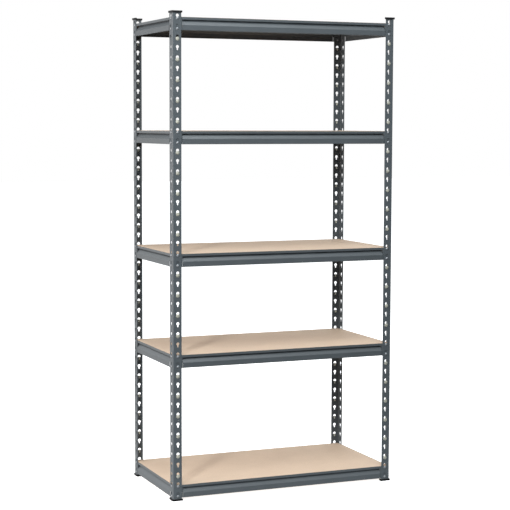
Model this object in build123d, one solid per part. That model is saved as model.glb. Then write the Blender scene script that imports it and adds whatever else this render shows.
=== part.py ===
from build123d import *
import os
from math import atan2, cos, hypot, sin, sqrt

# Boltless steel shelving: four keyhole corner posts, each in an upper and a lower half, and five
# shelves. A shelf is four roll-formed beams hung on rivets, with a loose particle board inside their lips.
# Millimetres, +Z up, -Y is the front. The origin is on the floor under the middle of the unit.

# Overall size
WIDTH = 914.4  # over the posts, left to right
DEPTH = 470.0  # over the posts, front to back

# Posts: a bent angle with a column of keyholes in both flanges
POST_SHEET = 1.8
POST_FLANGE = 34.5
POST_BEND = 1.5  # inside radius
KEY_PITCH = 38.1
KEYS_PER_HALF = 24
HALF_LENGTH = KEYS_PER_HALF * KEY_PITCH
KEY_TOP = 14.5  # from the end of a half to its first keyhole's head
KEY_AXIS = 19.5  # from the outer corner to the keyhole column
KEY_HEAD_RADIUS = 6.1
KEY_SLOT_RADIUS = 2.8
KEY_NECK = 3.1  # half the slot's width where it leaves the head
KEY_DROP = 10.3  # from the head's centre to the seat of the slot

# Caps and feet: plastic angles with a groove that takes the end of the post
SHOE_PLATE = 3.2
SHOE_SKIRT = 4.0
SHOE_OVERHANG = 3.6
SHOE_GROOVE_GAP = 0.1
SHOE_TIP = 1.5  # corner radius at the free ends of the angle
SHOE_NOSE = 3.5  # corner radius at the corner of the unit
SHOE_CHAMFER = 0.8
CAP_INSIDE = 2.0  # how far the cap reaches inside the flange
FOOT_INSIDE = 12.0

# Beams: one roll-formed section for both lengths
BEAM_SHEET = 1.2
BEAM_BEND = 0.6  # inside radius
BEAM_HEIGHT = 49.0
BEAM_GAP = 0.1  # between a beam's end tab and the flange that it hangs on
LEDGE_DROP = 9.0  # from the top of the lip to the ledge that carries the board
LEDGE_REACH = 13.6
GROOVE_DROP = 17.0
GROOVE_REACH = 6.2
BEVEL_DROP = 29.3
FACE_BULGE = 2.2  # how far the lower face stands outside the lip
RETURN_REACH = 6.5
SECTION_END = 39.0  # from the outer corner of the post to the end of the full section
CRUSH_END = 35.2  # where the lower face has come back into the plane of the tab
TAB_END = 6.0
TAB_CORNER = 3.0

# Rivets
RIVET_EDGE = 5.2  # from the top of the lip to the upper rivet
RIVET_RADIUS = 2.5
RIVET_HOLE_GAP = 0.05
RIVET_HEAD_RADIUS = 5.0
RIVET_HEAD_RIM = 0.5
RIVET_HEAD_HEIGHT = 2.6
RIVET_HEAD_GAP = 0.2
CLINCH_RADIUS = 4.0
CLINCH_HEIGHT = 0.8

# Plugs in every second free keyhole of the front and back flanges
PLUG_DROP = 9.0  # from the keyhole's head to the middle of the plug
PLUG_RADIUS = 7.2
PLUG_RIM = 0.8
PLUG_HEIGHT = 2.8
PLUG_SHANK_DROP = 9.2
PLUG_SHANK = (7.2, 5.0)  # tall, wide
PLUG_LIP = (9.4, 7.0)
PLUG_LIP_HEIGHT = 0.9

# Boards
BOARD_THICKNESS = 9.5
BOARD_INSET = 4.6  # from the outside of the posts to the edge of the board
BOARD_ARRIS = 0.4

# Shelves: the upper keyhole of each, counted down from 0 at the top of the post
SHELF_KEYS = (0, 11, 23, 33, 46)

POST_BOTTOM = SHOE_PLATE
POST_TOP = POST_BOTTOM + 2 * HALF_LENGTH
CORNERS = {
    "front_left": (-1, -1),
    "front_right": (1, -1),
    "back_left": (-1, 1),
    "back_right": (1, 1),
}


def key_height(key):
    """Height of the middle of a keyhole's round head."""
    return POST_TOP - KEY_TOP - key * KEY_PITCH


def lip_height(shelf_key):
    """Height of the top of a shelf's beams, with the rivets seated."""
    return key_height(shelf_key) - KEY_DROP + RIVET_EDGE


def plug_keys():
    """Every second keyhole from the first free one under each shelf to the next shelf."""
    keys = []
    for above, below in zip(SHELF_KEYS, SHELF_KEYS[1:]):
        keys += range(above + 2, below, 2)
    return keys


def offset_line(points, distance):
    """The same open line of points, moved sideways by a distance, with mitred corners."""
    headings = [atan2(b[1] - a[1], b[0] - a[0]) for a, b in zip(points, points[1:])]
    moved = []
    for index, (x, y) in enumerate(points):
        before = headings[max(index - 1, 0)]
        after = headings[min(index, len(headings) - 1)]
        middle_x = cos(before) + cos(after)
        middle_y = sin(before) + sin(after)
        length = hypot(middle_x, middle_y)
        reach = distance * 2 / length
        moved.append((x - reach * middle_y / length, y + reach * middle_x / length))
    return moved


def sheet_section(points, sheet, bend):
    """Section of a bent sheet whose middle line runs through the points."""
    sides = []
    for hand in (1, -1):
        radii = []
        for a, b, c in zip(points, points[1:], points[2:]):
            cross = (b[0] - a[0]) * (c[1] - b[1]) - (b[1] - a[1]) * (c[0] - b[0])
            radii.append(bend if cross * hand > 0 else bend + sheet)
        line = offset_line(points, hand * sheet / 2)
        sides.append((line, FilletPolyline(*line, radius=radii)))
    (left, left_edge), (right, right_edge) = sides
    outline = left_edge + right_edge + Line(left[0], right[0]) + Line(left[-1], right[-1])
    return make_face(outline)


def turned(outline_points, crown):
    """A turned piece about the Y axis, facing -Y, with a spherical dome from its last point to the crown.

    The points are radius and distance outward.
    """
    path = [(0, -outline_points[0][1])] + [(radius, -out) for radius, out in outline_points]
    rim_radius, rim = outline_points[-1]
    rise = crown - rim
    sphere = (rim_radius**2 + rise**2) / (2 * rise)
    shoulder_radius = rim_radius / 2
    shoulder = crown - sphere + sqrt(sphere**2 - shoulder_radius**2)
    dome = ThreePointArc(path[-1], (shoulder_radius, -shoulder), (0, -crown))
    outline = Polyline(*path) + dome + Line((0, -crown), path[0])
    return revolve(make_face(outline), axis=Axis.Y)


def keyhole():
    """A round head at the origin, with a tapering slot below it."""
    neck = Polygon(
        (-KEY_NECK, 0),
        (KEY_NECK, 0),
        (KEY_SLOT_RADIUS, -KEY_DROP),
        (-KEY_SLOT_RADIUS, -KEY_DROP),
        align=None,
    )
    return Circle(KEY_HEAD_RADIUS) + neck + Pos(0, -KEY_DROP) * Circle(KEY_SLOT_RADIUS)


def angle_section(extra):
    """Section of the post, thicker and longer by the extra on every side."""
    middle = POST_SHEET / 2
    end = POST_FLANGE + extra
    points = [(end, middle), (middle, middle), (middle, end)]
    return sheet_section(points, POST_SHEET + 2 * extra, POST_BEND - extra)


def at_corner(shape, side, front):
    """Moves a piece made with the post's outer corner at the origin to one of the four corners."""
    placed = Pos(-WIDTH / 2, -DEPTH / 2) * shape
    if side > 0:
        placed = mirror(placed, about=Plane.YZ)
    if front > 0:
        placed = mirror(placed, about=Plane.XZ)
    return placed


def half_post():
    """One half of a post, its lower end at height 0 and its outer corner on the Z axis."""
    post = extrude(angle_section(0), HALF_LENGTH)
    front_cut = extrude(Plane.XZ * keyhole(), 2 * POST_SHEET, both=True)
    side_cut = extrude(Plane.YZ * keyhole(), 2 * POST_SHEET, both=True)
    cuts = []
    for key in range(KEYS_PER_HALF):
        height = HALF_LENGTH - KEY_TOP - key * KEY_PITCH
        cuts.append(Pos(KEY_AXIS, 0, height) * front_cut)
        cuts.append(Pos(0, KEY_AXIS, height) * side_cut)
    return post - cuts


def shoe(inside):
    """A cap or foot as it stands under a post: the plate is below height 0, the skirt above it."""
    out = -SHOE_OVERHANG
    end = POST_FLANGE + SHOE_OVERHANG
    inner = POST_SHEET + inside
    angle = Polygon((out, out), (end, out), (end, inner), (inner, inner), (inner, end), (out, end), align=None)
    tips = [vertex for vertex in angle.vertices() if max(vertex.X, vertex.Y) > POST_FLANGE]
    angle = fillet(tips, SHOE_TIP)
    corner = angle.vertices().sort_by_distance((out, out))[0]
    angle = fillet(corner, SHOE_NOSE)
    body = Pos(0, 0, -SHOE_PLATE) * extrude(angle, SHOE_PLATE + SHOE_SKIRT)
    body = chamfer(body.faces().sort_by(Axis.Z)[-1].outer_wire().edges(), SHOE_CHAMFER)
    return body - extrude(angle_section(SHOE_GROOVE_GAP), 2 * SHOE_SKIRT)


def beam_section():
    """Section of a beam, outward to the right and the top of the lip at the origin."""
    half = BEAM_SHEET / 2
    points = [
        (-half, 0),
        (-half, -LEDGE_DROP - half),
        (-LEDGE_REACH + half, -LEDGE_DROP - half),
        (-GROOVE_REACH, -GROOVE_DROP),
        (FACE_BULGE - half, -BEVEL_DROP),
        (FACE_BULGE - half, half - BEAM_HEIGHT),
        (-RETURN_REACH, half - BEAM_HEIGHT),
    ]
    return sheet_section(points, BEAM_SHEET, BEAM_BEND)


def crushed_end(length):
    """The lower face of a beam where it is pressed back from the full section to the tab."""
    full = [(-GROOVE_REACH, -GROOVE_DROP), (FACE_BULGE - BEAM_SHEET / 2, -BEVEL_DROP)]
    full.append((full[1][0], BEAM_SHEET - BEAM_HEIGHT))
    flat = [(-BEAM_SHEET / 2, height) for _, height in full]
    ends = []
    for line, gap in ((full, SECTION_END), (flat, CRUSH_END)):
        left = offset_line(line, BEAM_SHEET / 2)
        right = offset_line(line, -BEAM_SHEET / 2)
        where = Plane(origin=(length / 2 - gap, 0, 0), x_dir=(0, -1, 0), z_dir=(-1, 0, 0))
        ends.append(where * Polygon(*left, *reversed(right), align=None))
    return loft(ends, ruled=True)


def beam(length):
    """A beam along X between posts of an overall length, its lip and tabs facing -Y on the plane Y 0."""
    across = Plane(origin=(0, 0, 0), x_dir=(0, -1, 0), z_dir=(-1, 0, 0))
    bar = extrude(across * beam_section(), length / 2 - SECTION_END, both=True)
    tab_length = SECTION_END - TAB_END
    tab = Pos(length / 2 - SECTION_END + tab_length / 2, BEAM_SHEET / 2, -BEAM_HEIGHT / 2) * Box(
        tab_length, BEAM_SHEET, BEAM_HEIGHT
    )
    far = tab.edges().filter_by(Axis.Y).sort_by(Axis.X)[-2:]
    end = fillet(far, TAB_CORNER) + crushed_end(length)
    hole = Rot(90, 0, 0) * Cylinder(RIVET_RADIUS + RIVET_HOLE_GAP, 4 * BEAM_SHEET)
    for x, z in rivet_places(length):
        if x > 0:
            end -= Pos(x, 0, z) * hole
    return bar + end + mirror(end, about=Plane.YZ)


def rivet_places(length):
    """Where a beam's four rivets are, from the middle of its length and the top of its lip."""
    return [
        (side * (length / 2 - KEY_AXIS), -RIVET_EDGE - row * KEY_PITCH)
        for side in (-1, 1)
        for row in (0, 1)
    ]


def rivet():
    """A rivet along Y: clinched inside the tab, with a domed head outside the flange."""
    under_head = BEAM_GAP + POST_SHEET + RIVET_HEAD_GAP
    rim = under_head + RIVET_HEAD_RIM
    outline = [
        (CLINCH_RADIUS, -BEAM_SHEET - CLINCH_HEIGHT),
        (CLINCH_RADIUS, -BEAM_SHEET),
        (RIVET_RADIUS, -BEAM_SHEET),
        (RIVET_RADIUS, under_head),
        (RIVET_HEAD_RADIUS, under_head),
        (RIVET_HEAD_RADIUS, rim),
    ]
    return turned(outline, under_head + RIVET_HEAD_HEIGHT)


def plug():
    """A plug at the origin on a flange that faces -Y: domed disc, shank in the slot, snap lip inside."""
    disc = turned([(PLUG_RADIUS, 0), (PLUG_RADIUS, PLUG_RIM)], PLUG_HEIGHT)
    inward = Plane(origin=(0, 0, PLUG_DROP - PLUG_SHANK_DROP), x_dir=(0, 0, 1), z_dir=(0, 1, 0))
    shank = extrude(inward * SlotOverall(*PLUG_SHANK), POST_SHEET + BEAM_GAP)
    lip_plane = inward.offset(POST_SHEET + BEAM_GAP)
    lip = extrude(lip_plane * SlotOverall(*PLUG_LIP), PLUG_LIP_HEIGHT)
    return disc + shank + lip


def board():
    """A particle board centred on the Z axis, its underside at height 0."""
    panel = Box(
        WIDTH - 2 * BOARD_INSET,
        DEPTH - 2 * BOARD_INSET,
        BOARD_THICKNESS,
        align=(Align.CENTER, Align.CENTER, Align.MIN),
    )
    return chamfer(panel.edges().filter_by(Axis.Z, reverse=True), BOARD_ARRIS)


def write(name, shape):
    """One STEP file per piece, or per group of identical fasteners."""
    export_step(shape, f"parts/{name}.step")


def write_posts():
    lower = half_post()
    foot = shoe(FOOT_INSIDE)
    cap = mirror(shoe(CAP_INSIDE), about=Plane.XY)
    one_plug = plug()
    plugs = [
        Pos(KEY_AXIS, 0, key_height(key) - PLUG_DROP) * one_plug
        for key in plug_keys()
    ]
    for corner, (side, front) in CORNERS.items():
        write(f"post_lower_{corner}", at_corner(Pos(0, 0, POST_BOTTOM) * lower, side, front))
        write(f"post_upper_{corner}", at_corner(Pos(0, 0, POST_BOTTOM + HALF_LENGTH) * lower, side, front))
        write(f"foot_{corner}", at_corner(Pos(0, 0, POST_BOTTOM) * foot, side, front))
        write(f"cap_{corner}", at_corner(Pos(0, 0, POST_TOP) * cap, side, front))
        placed = [at_corner(piece, side, front).solid() for piece in plugs]
        write(f"slot_plugs_{corner}", Compound(children=placed))


def write_shelves():
    long_beam = beam(WIDTH)
    short_beam = beam(DEPTH)
    one_rivet = rivet()
    panel = board()
    tab_plane = POST_SHEET + BEAM_GAP
    sides = {
        "front": (Pos(0, tab_plane - DEPTH / 2), long_beam, WIDTH),
        "back": (Rot(0, 0, 180) * Pos(0, tab_plane - DEPTH / 2), long_beam, WIDTH),
        "left": (Rot(0, 0, -90) * Pos(0, tab_plane - WIDTH / 2), short_beam, DEPTH),
        "right": (Rot(0, 0, 90) * Pos(0, tab_plane - WIDTH / 2), short_beam, DEPTH),
    }
    for number, shelf_key in enumerate(SHELF_KEYS, 1):
        top = Pos(0, 0, lip_height(shelf_key))
        rivets = []
        for side, (place, shape, length) in sides.items():
            write(f"beam_{side}_shelf_{number}", top * place * shape)
            for x, z in rivet_places(length):
                rivets.append((top * place * Pos(x, 0, z) * one_rivet).solid())
        write(f"rivets_shelf_{number}", Compound(children=rivets))
        write(f"board_shelf_{number}", top * Pos(0, 0, -LEDGE_DROP) * panel)


os.makedirs("parts", exist_ok=True)
write_posts()
write_shelves()
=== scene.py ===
"""Looks for the boltless steel shelving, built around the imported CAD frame.

Metres, +Z up, -Y is the front.
"""

import math

import bpy
from mathutils import Matrix, Vector


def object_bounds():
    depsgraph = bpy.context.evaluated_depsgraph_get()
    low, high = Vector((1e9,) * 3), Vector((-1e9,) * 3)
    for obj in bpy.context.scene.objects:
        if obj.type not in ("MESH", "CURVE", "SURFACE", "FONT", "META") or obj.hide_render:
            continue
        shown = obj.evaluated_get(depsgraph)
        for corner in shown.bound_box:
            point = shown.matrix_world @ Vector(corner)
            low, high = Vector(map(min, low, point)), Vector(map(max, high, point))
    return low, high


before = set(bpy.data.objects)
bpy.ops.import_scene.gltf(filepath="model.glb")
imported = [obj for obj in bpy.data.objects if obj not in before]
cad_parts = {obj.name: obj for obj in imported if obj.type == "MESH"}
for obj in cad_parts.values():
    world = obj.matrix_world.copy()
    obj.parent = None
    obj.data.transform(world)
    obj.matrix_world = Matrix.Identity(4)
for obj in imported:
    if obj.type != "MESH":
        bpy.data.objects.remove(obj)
cad_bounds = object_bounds()

SHELVES = range(1, 6)
SIDES = ("front", "back", "left", "right")
CORNERS = ("front_left", "front_right", "back_left", "back_right")

# Linear colours
POST_PAINT = (0.062, 0.073, 0.081)
BEAM_PAINT = (0.062, 0.072, 0.079)
PAINT_WORN = (0.15, 0.165, 0.175)
PAINT_CLOUD = 0.9  # how much darker the cloudy patches are
BOARD_LIGHT = (0.635, 0.492, 0.372)
BOARD_MID = (0.54, 0.408, 0.302)
BOARD_DARK = (0.35, 0.225, 0.145)
BOARD_PALE = (0.715, 0.58, 0.455)
BLACK = (0.007, 0.007, 0.008)
BLACK_DUST = (0.026, 0.026, 0.027)
ZINC = (0.22, 0.235, 0.25)
ZINC_BRIGHT = (0.32, 0.34, 0.36)
NYLON = (0.40, 0.40, 0.345)
NYLON_BRIGHT = (0.5, 0.5, 0.43)
NYLON_CLEAR = 0.4  # share of the light that passes through


# ---- Node helpers -------------------------------------------------------------------------------


class Graph:
    """A new material's node tree, with short calls for the nodes used below."""

    def __init__(self, name):
        self.material = bpy.data.materials.new(name)
        self.material.use_nodes = True
        self.nodes = self.material.node_tree.nodes
        self.links = self.material.node_tree.links
        self.shader = self.nodes["Principled BSDF"]
        self.place = self.add("ShaderNodeTexCoord").outputs["Object"]

    def add(self, kind, inputs=None, **settings):
        node = self.nodes.new(kind)
        for key, value in settings.items():
            setattr(node, key, value)
        for key, value in (inputs or {}).items():
            self.put(node.inputs[key], value)
        return node

    def put(self, socket, value):
        if isinstance(value, bpy.types.NodeSocket):
            self.links.new(value, socket)
        elif isinstance(value, tuple) and len(value) == 3 and len(socket.default_value) == 4:
            socket.default_value = (*value, 1.0)
        else:
            socket.default_value = value

    def noise(self, scale, detail=2.0, rough=0.5, place=None):
        inputs = {"Vector": place or self.place, "Scale": scale, "Detail": detail, "Roughness": rough}
        return self.add("ShaderNodeTexNoise", inputs).outputs["Fac"]

    def stretched(self, scale, turn=(0.0, 0.0, 0.0)):
        inputs = {"Vector": self.place, "Scale": scale, "Rotation": turn}
        return self.add("ShaderNodeMapping", inputs).outputs["Vector"]

    def cells(self, scale, place):
        """A random value for each Voronoi cell."""
        cells = self.add("ShaderNodeTexVoronoi", {"Vector": place, "Scale": scale})
        return self.add("ShaderNodeSeparateColor", {"Color": cells.outputs["Color"]}).outputs["Red"]

    def spread(self, value, low, high, to_low=0.0, to_high=1.0):
        """The value between low and high, spread over another range, held at its ends."""
        inputs = {"Value": value, "From Min": low, "From Max": high, "To Min": to_low, "To Max": to_high}
        return self.add("ShaderNodeMapRange", inputs).outputs["Result"]

    def mix(self, share, first, second):
        node = self.add("ShaderNodeMix", data_type="RGBA")
        colors = [socket for socket in node.inputs if socket.type == "RGBA"]
        self.put(node.inputs["Factor"], share)
        self.put(colors[0], first)
        self.put(colors[1], second)
        return next(socket for socket in node.outputs if socket.type == "RGBA")

    def math(self, operation, first, second=0.0):
        node = self.add("ShaderNodeMath", operation=operation)
        self.put(node.inputs[0], first)
        self.put(node.inputs[1], second)
        return node.outputs[0]

    def bump(self, height, strength, distance):
        inputs = {"Height": height, "Strength": strength, "Distance": distance}
        self.put(self.shader.inputs["Normal"], self.add("ShaderNodeBump", inputs).outputs["Normal"])

    def upright(self):
        """0 on a level face, 1 on an upright one."""
        geometry = self.add("ShaderNodeNewGeometry")
        normal = self.add("ShaderNodeSeparateXYZ", {"Vector": geometry.outputs["True Normal"]})
        return self.spread(self.math("ABSOLUTE", normal.outputs["Z"]), 0.6, 0.3)


# ---- Materials ----------------------------------------------------------------------------------


def paint(name, color):
    """Grey powder coat: orange peel, faint cloudiness, rubbed patches and short scuffs."""
    g = Graph(name)
    dark = tuple(PAINT_CLOUD * channel for channel in color)
    clouds = g.spread(g.noise(9.0, 4.0, 0.6), 0.35, 0.65)
    grain = g.spread(g.noise(900.0, 3.0, 0.7), 0.3, 0.7)
    color = g.mix(clouds, dark, color)
    color = g.mix(g.math("MULTIPLY", grain, 0.12), color, PAINT_WORN)
    scuff_noise = g.noise(1.0, 6.0, 0.75, g.stretched((26.0, 26.0, 190.0)))
    scuffs = g.spread(scuff_noise, 0.68, 0.78)
    color = g.mix(g.math("MULTIPLY", scuffs, 0.2), color, PAINT_WORN)
    g.put(g.shader.inputs["Base Color"], color)
    rough = g.spread(grain, 0.0, 1.0, 0.34, 0.46)
    g.put(g.shader.inputs["Roughness"], g.math("ADD", rough, g.math("MULTIPLY", scuffs, 0.12)))
    g.shader.inputs["Specular IOR Level"].default_value = 0.5
    peel = g.noise(420.0, 2.0, 0.5)
    g.bump(g.math("ADD", g.math("MULTIPLY", grain, 0.35), peel), 0.3, 0.0003)
    return g.material


def particle_board():
    """Sanded chipboard: short chips lying every way, fine dark specks, a broad mottle and coarse edges."""
    g = Graph("particle_board_sanded")
    warp = g.noise(60.0, 3.0, 0.6)
    warps = g.add("ShaderNodeCombineXYZ", {"X": warp, "Y": warp, "Z": warp}).outputs["Vector"]
    warped = g.add("ShaderNodeVectorMath", {0: g.place, 1: warps}, operation="ADD").outputs["Vector"]
    along = g.cells(1.0, g.stretched((110.0, 300.0, 300.0), (0.0, 0.0, 0.4)))
    across = g.cells(1.0, g.stretched((360.0, 130.0, 360.0), (0.0, 0.0, -0.5)))
    fine = g.cells(620.0, g.place)
    tone = g.math("ADD", g.math("MULTIPLY", along, 0.4), g.math("MULTIPLY", across, 0.35))
    tone = g.math("ADD", tone, g.math("MULTIPLY", fine, 0.25))
    mottle = g.spread(g.noise(11.0, 5.0, 0.6), 0.3, 0.7)
    blend = g.math("ADD", g.math("MULTIPLY", tone, 0.65), g.math("MULTIPLY", mottle, 0.35))
    color = g.mix(blend, BOARD_MID, BOARD_LIGHT)
    pale = g.spread(g.noise(380.0, 2.0, 0.6), 0.62, 0.72)
    color = g.mix(g.math("MULTIPLY", pale, 0.5), color, BOARD_PALE)
    specks = g.spread(g.noise(460.0, 2.0, 0.6, warped), 0.62, 0.7)
    color = g.mix(g.math("MULTIPLY", specks, 0.55), color, BOARD_DARK)
    edge = g.upright()
    pits = g.spread(g.noise(700.0, 3.0, 0.7, warped), 0.5, 0.68)
    color = g.mix(g.math("MULTIPLY", edge, g.math("MULTIPLY", pits, 0.6)), color, BOARD_DARK)
    g.put(g.shader.inputs["Base Color"], color)
    g.put(g.shader.inputs["Roughness"], g.spread(tone, 0.0, 1.0, 0.62, 0.82))
    g.shader.inputs["Specular IOR Level"].default_value = 0.3
    relief = g.math("SUBTRACT", g.math("MULTIPLY", tone, 0.4), g.math("MULTIPLY", specks, 0.6))
    g.bump(g.math("SUBTRACT", relief, g.math("MULTIPLY", edge, pits)), 0.4, 0.0004)
    return g.material


def black_plastic():
    """Moulded black plastic with a fine spark texture and dusty high spots."""
    g = Graph("black_moulded_plastic")
    grain = g.noise(1400.0, 3.0, 0.6)
    dust = g.spread(g.noise(120.0, 4.0, 0.6), 0.5, 0.75)
    g.put(g.shader.inputs["Base Color"], g.mix(g.math("MULTIPLY", dust, 0.35), BLACK, BLACK_DUST))
    g.put(g.shader.inputs["Roughness"], g.spread(grain, 0.3, 0.7, 0.42, 0.6))
    g.shader.inputs["Specular IOR Level"].default_value = 0.3
    g.bump(grain, 0.3, 0.0002)
    return g.material


def zinc():
    """Zinc plate gone dull: grey metal with a faint bluish cast and soft spangle."""
    g = Graph("rivet_zinc_plate")
    tone = g.cells(700.0, g.place)
    g.put(g.shader.inputs["Base Color"], g.mix(tone, ZINC, ZINC_BRIGHT))
    g.shader.inputs["Metallic"].default_value = 0.6
    g.put(g.shader.inputs["Roughness"], g.spread(tone, 0.0, 1.0, 0.38, 0.5))
    g.bump(g.noise(900.0), 0.15, 0.0002)
    return g.material


def nylon():
    """Natural nylon: warm off-white, cloudy, and letting some light through."""
    g = Graph("plug_natural_nylon")
    cloud = g.spread(g.noise(260.0, 3.0, 0.5), 0.3, 0.7)
    g.put(g.shader.inputs["Base Color"], g.mix(cloud, NYLON, NYLON_BRIGHT))
    g.put(g.shader.inputs["Roughness"], g.spread(cloud, 0.0, 1.0, 0.4, 0.52))
    g.shader.inputs["Transmission Weight"].default_value = NYLON_CLEAR
    g.bump(g.noise(800.0), 0.1, 0.0002)
    return g.material


def floor_white():
    """Pale matt floor that glows a little, so that it meets the white surroundings with no line."""
    g = Graph("studio_floor")
    g.put(g.shader.inputs["Base Color"], g.mix(g.noise(3.0), FLOOR_GREY, FLOOR_PALE))
    g.shader.inputs["Roughness"].default_value = 0.9
    g.shader.inputs["Emission Color"].default_value = (1.0, 1.0, 1.0, 1.0)
    g.shader.inputs["Emission Strength"].default_value = FLOOR_GLOW
    return g.material


def assign(names, material):
    for name in names:
        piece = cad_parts[name]
        piece.data.materials.clear()
        piece.data.materials.append(material)


def dress():
    """Every CAD node gets its finish."""
    plastic = black_plastic()
    posts = [f"post_{half}_{corner}" for half in ("lower", "upper") for corner in CORNERS]
    beams = [f"beam_{side}_shelf_{shelf}" for side in SIDES for shelf in SHELVES]
    assign(posts, paint("post_powder_coat", POST_PAINT))
    assign(beams, paint("beam_powder_coat", BEAM_PAINT))
    assign([f"{shoe}_{corner}" for shoe in ("cap", "foot") for corner in CORNERS], plastic)
    assign([f"slot_plugs_{corner}" for corner in CORNERS], nylon())
    assign([f"rivets_shelf_{shelf}" for shelf in SHELVES], zinc())
    assign([f"board_shelf_{shelf}" for shelf in SHELVES], particle_board())


# ---- Camera, floor and light --------------------------------------------------------------------

CAMERA_PLACE = (-2.312, -5.515, 1.4194)
CAMERA_YAW = math.radians(22.487)
CAMERA_PITCH = math.radians(-4.96)
CAMERA_ROLL = math.radians(0.16)
CAMERA_LENS = 106.4
SENSOR = 36.0

FLOOR_HALF = 30.0
FLOOR_GLOW = 0.8
FLOOR_GREY = (0.86, 0.86, 0.86)
FLOOR_PALE = (0.88, 0.88, 0.88)

# Strength of the surroundings as light: from below, at the horizon and from straight above
SKY_BELOW = 0.002
SKY_LEVEL = 0.13
SKY_ABOVE = 0.92
SKY_TINT = (0.93, 0.98, 1.0)

# Colours of the softboxes
WARM = (1.0, 0.91, 0.865)
COOL = (0.92, 0.97, 1.0)
WHITE = (1.0, 1.0, 1.0)

# Softboxes: name, place, what they point at, size, watts, colour, and whether glossy surfaces mirror them
SOFTBOXES = (
    ("key", (-4.2, -1.0, 1.4), (0.0, 0.0, 0.9), (2.6, 2.6), 190.0, WARM, True),
    ("overhead_front", (0.0, -1.9, 3.9), (0.0, 0.0, 0.9), (1.8, 1.8), 66.0, COOL, True),
    ("front_high", (-1.2, -3.4, 3.0), (0.0, 0.0, 0.9), (1.6, 1.2), 38.0, COOL, True),
    ("front_left", (-3.0, -3.2, 2.7), (0.0, 0.0, 0.9), (0.5, 1.0), 125.0, COOL, False),
    ("floor_bounce", (-0.15, -0.1, 0.005), (-0.15, -0.1, 1.0), (1.7, 1.1), 6.0, COOL, False),
    ("backdrop_left", (-2.2, 4.0, 0.4), (0.0, 0.0, 0.4), (3.0, 4.2), 34.0, WHITE, True),
    ("backdrop_right", (2.4, 3.6, 1.4), (0.0, 0.0, 0.9), (2.4, 2.0), 20.0, WHITE, True),
)


def add_camera():
    level = math.cos(CAMERA_PITCH)
    ahead = Vector((math.sin(CAMERA_YAW) * level, math.cos(CAMERA_YAW) * level, math.sin(CAMERA_PITCH)))
    level_right = Vector((math.cos(CAMERA_YAW), -math.sin(CAMERA_YAW), 0.0))
    level_up = level_right.cross(ahead)
    right = level_right * math.cos(CAMERA_ROLL) + level_up * math.sin(CAMERA_ROLL)
    up = level_up * math.cos(CAMERA_ROLL) - level_right * math.sin(CAMERA_ROLL)
    data = bpy.data.cameras.new("camera")
    data.sensor_width = SENSOR
    data.lens = CAMERA_LENS
    camera = bpy.data.objects.new("camera", data)
    turn = Matrix((right, up, -ahead)).transposed().to_4x4()
    camera.matrix_world = Matrix.Translation(CAMERA_PLACE) @ turn
    bpy.context.scene.collection.objects.link(camera)
    bpy.context.scene.camera = camera


def add_floor():
    """The floor shows only to the camera. It sends no light up, mirrors in nothing and blocks no light."""
    mesh = bpy.data.meshes.new("floor")
    height = cad_bounds[0][2]
    corners = [(x * FLOOR_HALF, y * FLOOR_HALF, height) for x, y in ((-1, -1), (1, -1), (1, 1), (-1, 1))]
    mesh.from_pydata(corners, [], [(0, 1, 2, 3)])
    floor = bpy.data.objects.new("floor", mesh)
    floor.data.materials.append(floor_white())
    floor.visible_diffuse = False
    floor.visible_glossy = False
    floor.visible_shadow = False
    bpy.context.scene.collection.objects.link(floor)


def add_softbox(name, place, aim, size, power, color, shines):
    data = bpy.data.lights.new(name, "AREA")
    data.shape = "RECTANGLE"
    data.size, data.size_y = size
    data.energy = power
    data.color = color
    light = bpy.data.objects.new(name, data)
    light.location = place
    light.visible_camera = False
    light.visible_glossy = shines
    light.rotation_euler = (Vector(aim) - Vector(place)).to_track_quat("-Z", "Y").to_euler()
    bpy.context.scene.collection.objects.link(light)


def add_surroundings():
    """A white backdrop for the camera. As light, faintly blue and far brighter from above than below."""
    world = bpy.data.worlds.new("studio")
    world.use_nodes = True
    nodes = world.node_tree.nodes
    links = world.node_tree.links
    direction = nodes.new("ShaderNodeTexCoord")
    split = nodes.new("ShaderNodeSeparateXYZ")
    links.new(direction.outputs["Generated"], split.inputs["Vector"])
    strength = nodes.new("ShaderNodeMath")
    rises = ((-0.5, 0.0, SKY_BELOW, SKY_LEVEL), (0.0, 1.0, 0.0, SKY_ABOVE - SKY_LEVEL))
    for index, values in enumerate(rises):
        rise = nodes.new("ShaderNodeMapRange")
        links.new(split.outputs["Z"], rise.inputs["Value"])
        for key, value in zip(("From Min", "From Max", "To Min", "To Max"), values):
            rise.inputs[key].default_value = value
        links.new(rise.outputs["Result"], strength.inputs[index])
    light = nodes["Background"]
    light.inputs["Color"].default_value = (*SKY_TINT, 1.0)
    links.new(strength.outputs["Value"], light.inputs["Strength"])
    backdrop = nodes.new("ShaderNodeBackground")
    backdrop.inputs["Color"].default_value = (1.0, 1.0, 1.0, 1.0)
    rays = nodes.new("ShaderNodeLightPath")
    seen = nodes.new("ShaderNodeMixShader")
    links.new(rays.outputs["Is Camera Ray"], seen.inputs["Fac"])
    links.new(light.outputs["Background"], seen.inputs[1])
    links.new(backdrop.outputs["Background"], seen.inputs[2])
    links.new(seen.outputs["Shader"], nodes["World Output"].inputs["Surface"])
    bpy.context.scene.world = world
    bpy.context.scene.view_settings.view_transform = "Standard"


dress()
add_camera()
add_floor()
for softbox in SOFTBOXES:
    add_softbox(*softbox)
add_surroundings()
